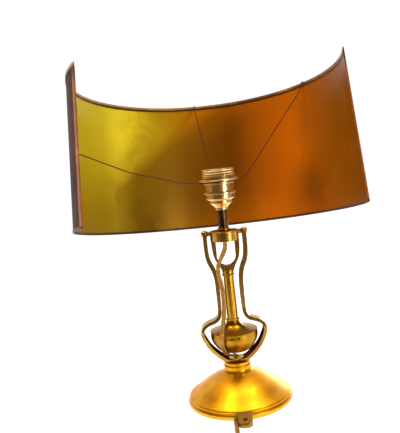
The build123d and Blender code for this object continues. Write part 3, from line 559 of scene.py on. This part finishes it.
def make_iron():
    material, tree, shader = new_material("cast_iron_and_lead")
    where = object_place(tree)
    grain = noise(tree, where, 900.0, 5.0, 0.65)
    feed(tree, shader.inputs["Base Color"],
         blend_colour(tree, between(tree, grain, 0.3, 0.7), (0.05, 0.048, 0.046), (0.13, 0.12, 0.11)))
    shader.inputs["Metallic"].default_value = 0.8
    feed(tree, shader.inputs["Roughness"], between(tree, grain, 0.3, 0.7, 0.55, 0.75))
    set_bump(tree, shader, grain, 0.5, 0.0003)
    return material


def make_baize():
    material, tree, shader = new_material("green_baize")
    where = object_place(tree)
    nap = noise(tree, where, 2600.0, 3.0, 0.8, 1.2)
    worn = noise(tree, where, 70.0, 3.0, 0.6)
    colour = blend_colour(tree, between(tree, nap, 0.3, 0.7), (0.012, 0.05, 0.025), (0.04, 0.13, 0.07))
    colour = blend_colour(tree, between(tree, worn, 0.55, 0.75, 0.0, 0.5), colour, (0.10, 0.12, 0.08))
    feed(tree, shader.inputs["Base Color"], colour)
    feed(tree, shader.inputs["Roughness"], between(tree, nap, 0.2, 0.8, 0.85, 1.0))
    shader.inputs["Sheen Weight"].default_value = 0.4
    set_bump(tree, shader, nap, 0.8, 0.0006)
    return material


def make_steatite():
    material, tree, shader = new_material("glazed_steatite")
    where = object_place(tree)
    spot = noise(tree, where, 700.0, 3.0, 0.6)
    feed(tree, shader.inputs["Base Color"],
         blend_colour(tree, between(tree, spot, 0.6, 0.75), (0.80, 0.77, 0.70), (0.45, 0.38, 0.28)))
    feed(tree, shader.inputs["Roughness"], between(tree, spot, 0.3, 0.7, 0.18, 0.35))
    set_bump(tree, shader, spot, 0.15, 0.0003)
    return material


def ramp(tree, value, stops):
    """Colour ramp from (place, colour) stops."""
    node = add(tree, "ShaderNodeValToRGB")
    node.color_ramp.interpolation = "B_SPLINE"
    points = node.color_ramp.elements
    while len(points) < len(stops):
        points.new(0.5)
    for point, (place, colour) in zip(points, stops):
        point.position = place
        point.color = (*colour, 1.0)
    feed(tree, node.inputs[0], value)
    return node.outputs[0]


# Lining colour round the curve: an olive-to-copper tone, partly the lining's own aging and partly painted
# reflected light, with a painted reflection streak at 0.325, a broad painted reflection from 0.62 to 0.74,
# and darker towards the right end.
LINING_TONE_AND_PAINTED_REFLECTIONS = [
    (0.00, (0.30, 0.24, 0.010)), (0.20, (0.38, 0.30, 0.009)), (0.28, (0.42, 0.32, 0.009)),
    (0.325, (0.78, 0.63, 0.03)), (0.37, (0.42, 0.29, 0.006)), (0.45, (0.32, 0.17, 0.003)),
    (0.52, (0.42, 0.130, 0.001)), (0.62, (0.80, 0.165, 0.001)), (0.74, (0.88, 0.150, 0.001)),
    (0.80, (0.24, 0.026, 0.001)), (0.90, (0.07, 0.007, 0.001)), (1.00, (0.05, 0.007, 0.001)),
]


def make_shade_material():
    """Satin gold lining inside, olive to copper round the curve, partly aged and partly painted reflected
    light, with painted shade; dark lacquer outside.
    """
    material, tree, shader = new_material("gold_lined_card")
    where = object_place(tree)
    sides = use(tree, shade_sides)
    wear = use(tree, handling, Size=0.35, Scratches=0.5, Dents=0.8)
    smudge = noise(tree, where, 22.0, 5.0, 0.6, 0.6)
    flecks = noise(tree, where, 900.0, 3.0, 0.7)
    brushed = noise(tree, stretched(tree, where, (12, 12, 1500)), 1.0, 2.0, 0.5)
    around = between(tree, sides["Around"], -SHADE_HALF_ANGLE, SHADE_HALF_ANGLE)
    around = calc(tree, "ADD", around, between(tree, smudge, 0.3, 0.7, -0.02, 0.02))
    lining = ramp(tree, around, LINING_TONE_AND_PAINTED_REFLECTIONS)
    # Painted shadow cast by the shade's own rim: a diagonal edge across the lining, darker below it.
    slope = calc(tree, "SUBTRACT", sides["Up"], calc(tree, "MULTIPLY", sides["Around"], SHADOW_SLOPE))
    slope = calc(tree, "ADD", slope, between(tree, smudge, 0.3, 0.7, -0.006, 0.006))
    painted_rim_shadow = calc(tree, "MULTIPLY", between(tree, slope, 0.098, 0.079, 0.0, 0.68),
                 between(tree, sides["Around"], -0.88, -0.76))
    # Painted shade towards the bottom of the lining, joined with the painted rim shadow; (0.19, 0.078,
    # 0.002) is the shade colour.
    low = calc(tree, "MAXIMUM", between(tree, sides["Up"], 0.050, -0.015, 0.0, 0.62), painted_rim_shadow)
    lining = blend_colour(tree, low, lining, (0.19, 0.078, 0.002))
    lining = blend_colour(tree, between(tree, smudge, 0.48, 0.75, 0.0, 0.35), lining, (0.24, 0.10, 0.012))
    lining = blend_colour(tree, between(tree, flecks, 0.68, 0.76, 0.0, 0.5), lining, (0.10, 0.04, 0.01))
    card = blend_colour(tree, between(tree, smudge, 0.35, 0.7), (0.012, 0.006, 0.006), (0.034, 0.015, 0.011))
    card = blend_colour(tree, between(tree, flecks, 0.64, 0.72, 0.0, 0.7), card, (0.13, 0.06, 0.03))
    feed(tree, shader.inputs["Base Color"], blend_colour(tree, sides["Outside"], lining, card))
    feed(tree, shader.inputs["Metallic"], between(tree, sides["Outside"], 0.0, 1.0, 0.35, 0.0))
    shader.inputs["Specular IOR Level"].default_value = 0.08
    rough = between(tree, wear["Rub"], 0.3, 0.9, 0.32, 0.42)
    feed(tree, shader.inputs["Roughness"],
         calc(tree, "ADD", rough, calc(tree, "MULTIPLY", sides["Outside"], 0.20)))
    height = calc(tree, "ADD", wear["Height"], calc(tree, "MULTIPLY", brushed, 0.25))
    set_bump(tree, shader, height, 0.18, 0.0005)
    return material


def make_tape(name, rubbed, worn, dark, seed):
    """Folded edge tape of the shade: dull brown, worn to gold on its fold, with a painted shadow in a thin
    band under the fold.
    """
    material, tree, shader = new_material(name)
    where = shifted(tree, object_place(tree), (seed, seed, seed))
    sides = use(tree, shade_sides)
    wide = noise(tree, where, 45.0, 5.0, 0.65)
    fine = noise(tree, where, 1100.0, 4.0, 0.7)
    fold = between(tree, sides["Up"], SHADE_TOP - 0.0026, SHADE_TOP - 0.0010)
    left = between(tree, sides["Around"], 0.65, 0.15, 0.15, 1.0)
    bare = calc(tree, "MULTIPLY", fold, left)
    bare = calc(tree, "MULTIPLY", bare, between(tree, wide, 0.30, 0.60, 0.55, 1.0))
    # Painted shadow: a thin dark band just under the worn fold, in the dark colour.
    painted_fold_shadow = between(tree, sides["Up"], SHADE_TOP - 0.0022, SHADE_TOP - 0.0034)
    painted_fold_shadow = calc(tree, "MULTIPLY", painted_fold_shadow, between(tree, sides["Up"], 0.095, 0.105))
    colour = blend_colour(tree, between(tree, fine, 0.35, 0.7, 0.0, 0.5), rubbed, dark)
    colour = blend_colour(tree, between(tree, wide, 0.5, 0.75, 0.0, 0.6), colour, worn)
    colour = blend_colour(tree, painted_fold_shadow, colour, dark)
    feed(tree, shader.inputs["Base Color"], blend_colour(tree, bare, colour, worn))
    feed(tree, shader.inputs["Metallic"], between(tree, bare, 0.0, 1.0, 0.35, 0.75))
    feed(tree, shader.inputs["Roughness"], between(tree, fine, 0.3, 0.7, 0.36, 0.55))
    set_bump(tree, shader, fine, 0.35, 0.0003)
    return material


def make_wire():
    material, tree, shader = new_material("lacquered_wire")
    fine = noise(tree, object_place(tree), 600.0, 4.0, 0.7)
    feed(tree, shader.inputs["Base Color"],
         blend_colour(tree, between(tree, fine, 0.45, 0.7), (0.045, 0.012, 0.003), (0.110, 0.032, 0.008)))
    shader.inputs["Specular IOR Level"].default_value = 0.05
    shader.inputs["Metallic"].default_value = 0.0
    feed(tree, shader.inputs["Roughness"], between(tree, fine, 0.3, 0.7, 0.30, 0.50))
    set_bump(tree, shader, fine, 0.3, 0.0001)
    return material


def make_flex():
    """Clear insulation over copper strands, seen as a gold cord with a soft gloss."""
    material, tree, shader = new_material("clear_gold_flex")
    where = object_place(tree)
    strand = noise(tree, where, 1500.0, 2.0, 0.6, 1.5)
    aged = noise(tree, where, 60.0, 4.0, 0.6)
    colour = blend_colour(tree, between(tree, strand, 0.35, 0.65), (0.15, 0.072, 0.013), (0.38, 0.23, 0.055))
    colour = blend_colour(tree, between(tree, aged, 0.5, 0.75, 0.0, 0.5), colour, (0.24, 0.13, 0.03))
    feed(tree, shader.inputs["Base Color"], colour)
    feed(tree, shader.inputs["Metallic"], between(tree, strand, 0.35, 0.65, 0.25, 0.55))
    feed(tree, shader.inputs["Roughness"], between(tree, aged, 0.3, 0.7, 0.18, 0.32))
    shader.inputs["Coat Weight"].default_value = 0.10
    shader.inputs["Coat Roughness"].default_value = 0.12
    set_bump(tree, shader, strand, 0.15, 0.0002)
    return material


def make_plug_plastic():
    material, tree, shader = new_material("brown_plug_plastic")
    where = object_place(tree)
    fine = noise(tree, where, 1600.0, 3.0, 0.6)
    rubbed = noise(tree, where, 80.0, 4.0, 0.6)
    feed(tree, shader.inputs["Base Color"],
         blend_colour(tree, between(tree, rubbed, 0.4, 0.7), (0.020, 0.012, 0.009), (0.045, 0.027, 0.018)))
    feed(tree, shader.inputs["Roughness"], between(tree, rubbed, 0.3, 0.7, 0.28, 0.42))
    set_bump(tree, shader, fine, 0.12, 0.0002)
    return material


iron = make_iron()
baize = make_baize()
steatite = make_steatite()
shade_card = make_shade_material()
end_tape = make_tape("shade_end_tape", (0.22, 0.075, 0.018), (0.46, 0.20, 0.05), (0.05, 0.02, 0.008), 2.0)
top_tape = make_tape("shade_top_tape", (0.14, 0.06, 0.015), (0.58, 0.33, 0.08), (0.03, 0.012, 0.005), 5.0)
low_tape = make_tape("shade_low_tape", (0.05, 0.022, 0.008), (0.16, 0.07, 0.02), (0.02, 0.009, 0.004), 8.0)
wire = make_wire()
flex = make_flex()
plug_plastic = make_plug_plastic()

FINISHES = {
    brass_base: ["base_shell", "yoke_foot", "swivel_washer"],
    brass_lug: ["hanging_lug"],
    brass_yoke: ["yoke_strap", "stirrup", "pivot_spacers"],
    brass_tube: ["column", "column_foot", "swivel_stud", "stud_nut", "stud_washer", "stud_sleeve"],
    brass_bowl: ["bowl_cover", "bowl_cup", "ring_nut"],
    brass_holder: ["holder_cap", "holder_body", "shade_ring_upper", "shade_ring_lower"],
    brass_dark: ["stem", "carrier_ring", "bowl_screws"],
    brass_screw: ["pivot_screws", "screw_shell", "centre_contact", "contact_rivet",
                  "terminal_screws", "cord_saddle"],
    steel: ["tie_rod", "saddle_screws"],
    nickel_pins: ["plug_pins"],
    iron: ["base_ballast", "bowl_weight"],
    baize: ["baize_pad"],
    steatite: ["holder_insert"],
    shade_card: ["shade_skin"],
    end_tape: ["shade_left_binding", "shade_right_binding"],
    top_tape: ["shade_top_binding"],
    low_tape: ["shade_bottom_binding"],
    wire: ["wire_left", "wire_back", "wire_right"],
    flex: ["cord_stem"],
    plug_plastic: ["plug_body", "plug_sleeve"],
}


def wear_finish(piece, material):
    piece.data.materials.clear()
    piece.data.materials.append(material)


for material, names in FINISHES.items():
    for name in names:
        wear_finish(nodes[name], material)

for piece in (free_cord, upper_cord, inner_cord):
    wear_finish(piece, flex)
wear_finish(coil_tie, plug_plastic)

# ---- What moves with what --------------------------------------------------------------------

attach(free_cord, "base")
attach(inner_cord, "base")
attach(coil_tie, "base")
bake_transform(upper_cord)

# ---- Floor, reflected room and light ----------------------------------------------------------


def shown_as_backdrop(tree):
    """1 where the set is seen by the camera, in a reflection or through glass, and 0 elsewhere."""
    path = add(tree, "ShaderNodeLightPath")
    seen = calc(tree, "MAXIMUM", path.outputs["Is Camera Ray"], path.outputs["Is Glossy Ray"])
    return calc(tree, "MAXIMUM", seen, path.outputs["Is Transmission Ray"])


def make_floor():
    """Paper sweep: flat under the lamp, and curved up behind the view on every side."""
    mesh = bmesh.new()
    rings = []
    steps = 72
    for radius, height in ((0.0, 0), (1.0, 0), (2.0, 0), (2.6, 0.08), (3.1, 0.35), (3.4, 0.8), (3.5, 4)):
        if radius == 0.0:
            rings.append([mesh.verts.new((0, 0, 0))])
            continue
        rings.append([mesh.verts.new((radius * math.cos(2 * math.pi * i / steps),
                                      radius * math.sin(2 * math.pi * i / steps), height))
                      for i in range(steps)])
    for i in range(steps):
        mesh.faces.new((rings[0][0], rings[1][i], rings[1][(i + 1) % steps]))
    for ring, following in zip(rings[1:], rings[2:]):
        for i in range(steps):
            j = (i + 1) % steps
            mesh.faces.new((ring[i], following[i], following[j], ring[j]))
    data = bpy.data.meshes.new("floor")
    mesh.to_mesh(data)
    mesh.free()
    data.polygons.foreach_set("use_smooth", [True] * len(data.polygons))
    floor = bpy.data.objects.new("floor", data)
    scene.collection.objects.link(floor)
    material, tree, shader = new_material("floor_paper")
    shader.inputs["Base Color"].default_value = (0.34, 0.35, 0.38, 1)
    shader.inputs["Roughness"].default_value = 0.9
    shader.inputs["Emission Color"].default_value = (0.97, 0.975, 1.0, 1)
    feed(tree, shader.inputs["Emission Strength"],
         calc(tree, "MULTIPLY", shown_as_backdrop(tree), 0.93))
    wear_finish(floor, material)
    floor.visible_shadow = False


def make_room(name, colours, radius, low, high, first, last):
    """Curved screen in front of the lamp that only shows as a reflection in the metal."""
    mesh = bmesh.new()
    steps = 24
    columns = []
    for i in range(steps + 1):
        a = math.radians(first + (last - first) * i / steps)
        foot = (radius * math.cos(a), radius * math.sin(a))
        columns.append([mesh.verts.new((*foot, low)), mesh.verts.new((*foot, high))])
    for here, following in zip(columns, columns[1:]):
        mesh.faces.new((here[0], here[1], following[1], following[0]))
    return reflected(finished(name, mesh), colours)


def make_mat(name, colours, low, high, height):
    """Level board, before the lamp or over it, that only shows as a reflection."""
    mesh = bmesh.new()
    corners = ((low[0], low[1]), (high[0], low[1]), (high[0], high[1]), (low[0], high[1]))
    mesh.faces.new([mesh.verts.new((x, y, height)) for x, y in corners])
    return reflected(finished(name, mesh), colours)


def reflected(card, colours):
    """Softly clouded card, hidden from everything but reflections."""
    material, tree, shader = new_material(card.name)
    cloud = noise(tree, object_place(tree), 2.2, 2.0, 0.5)
    shader.inputs["Base Color"].default_value = (0, 0, 0, 1)
    shader.inputs["Specular IOR Level"].default_value = 0.0
    feed(tree, shader.inputs["Emission Color"],
         blend_colour(tree, between(tree, cloud, 0.35, 0.65), *colours))
    shader.inputs["Emission Strength"].default_value = 1.0
    wear_finish(card, material)
    card.visible_camera = False
    card.visible_diffuse = False
    card.visible_shadow = False


def make_light(name, centre, target, width, height, watts, colour, in_reflections):
    data = bpy.data.lights.new(name, "AREA")
    data.shape = "RECTANGLE"
    data.size = width
    data.size_y = height
    data.energy = watts
    data.color = colour
    lamp = bpy.data.objects.new(name, data)
    lamp.location = centre
    lamp.rotation_euler = (Vector(target) - Vector(centre)).to_track_quat("-Z", "Y").to_euler()
    lamp.visible_glossy = in_reflections
    scene.collection.objects.link(lamp)


def light_world():
    world = bpy.data.worlds.new("studio")
    scene.world = world
    world.use_nodes = True
    tree = world.node_tree
    tree.nodes.clear()
    pale = add(tree, "ShaderNodeBackground")
    pale.inputs["Color"].default_value = (0.95, 0.96, 1.0, 1)
    fill = add(tree, "ShaderNodeBackground")
    fill.inputs["Color"].default_value = (0.9, 0.92, 1.0, 1)
    fill.inputs["Strength"].default_value = 0.28
    mix = add(tree, "ShaderNodeMixShader")
    feed(tree, mix.inputs[0], shown_as_backdrop(tree))
    tree.links.new(fill.outputs[0], mix.inputs[1])
    tree.links.new(pale.outputs[0], mix.inputs[2])
    tree.links.new(mix.outputs[0], add(tree, "ShaderNodeOutputWorld").inputs[0])


# Name, centre, point aimed at, width, height, watts, colour, and whether it shows in reflections.
LAMPS = [
    ("window", (0.92, -0.30, 0.66), (0.0, 0.05, 0.22), 0.30, 0.28, 14, (1.0, 0.96, 0.85), False),
    ("left_wall", (-0.80, -0.75, 0.36), (0.08, 0.1, 0.27), 0.30, 0.40, 24, (1.0, 0.72, 0.36), False),
    ("right_strip", (0.75, -0.90, 0.14), (0.0, 0.0, 0.17), 0.12, 0.24, 4, (1.0, 0.98, 0.88), True),
    ("top_left", (-0.36, 0.00, 1.25), (0, 0, 0.03), 0.40, 0.40, 5.5, (1.0, 0.84, 0.60), True),
    ("top_right", (0.38, 0.06, 1.25), (0, 0, 0.03), 0.36, 0.36, 6, (1.0, 0.99, 0.85), True),
    ("back_right", (0.50, 0.95, 0.11), (0.02, 0.0, 0.04), 0.34, 0.14, 2.5, (1.0, 0.99, 0.80), True),
]
BROWN = ((0.06, 0.035, 0.015), (0.16, 0.10, 0.05))
AMBER = ((0.22, 0.14, 0.06), (0.50, 0.34, 0.16))
make_floor()
make_room("room_walls", BROWN, 1.7, 0.0, 2.2, -208, 27)
make_mat("room_floor", BROWN, (-1.5, -1.7), (1.5, -0.26), 0.004)
make_mat("room_ceiling", AMBER, (-1.7, -1.7), (1.7, 0.9), 2.2)
for lamp_row in LAMPS:
    make_light(*lamp_row)
light_world()
scene.view_settings.view_transform = "Standard"
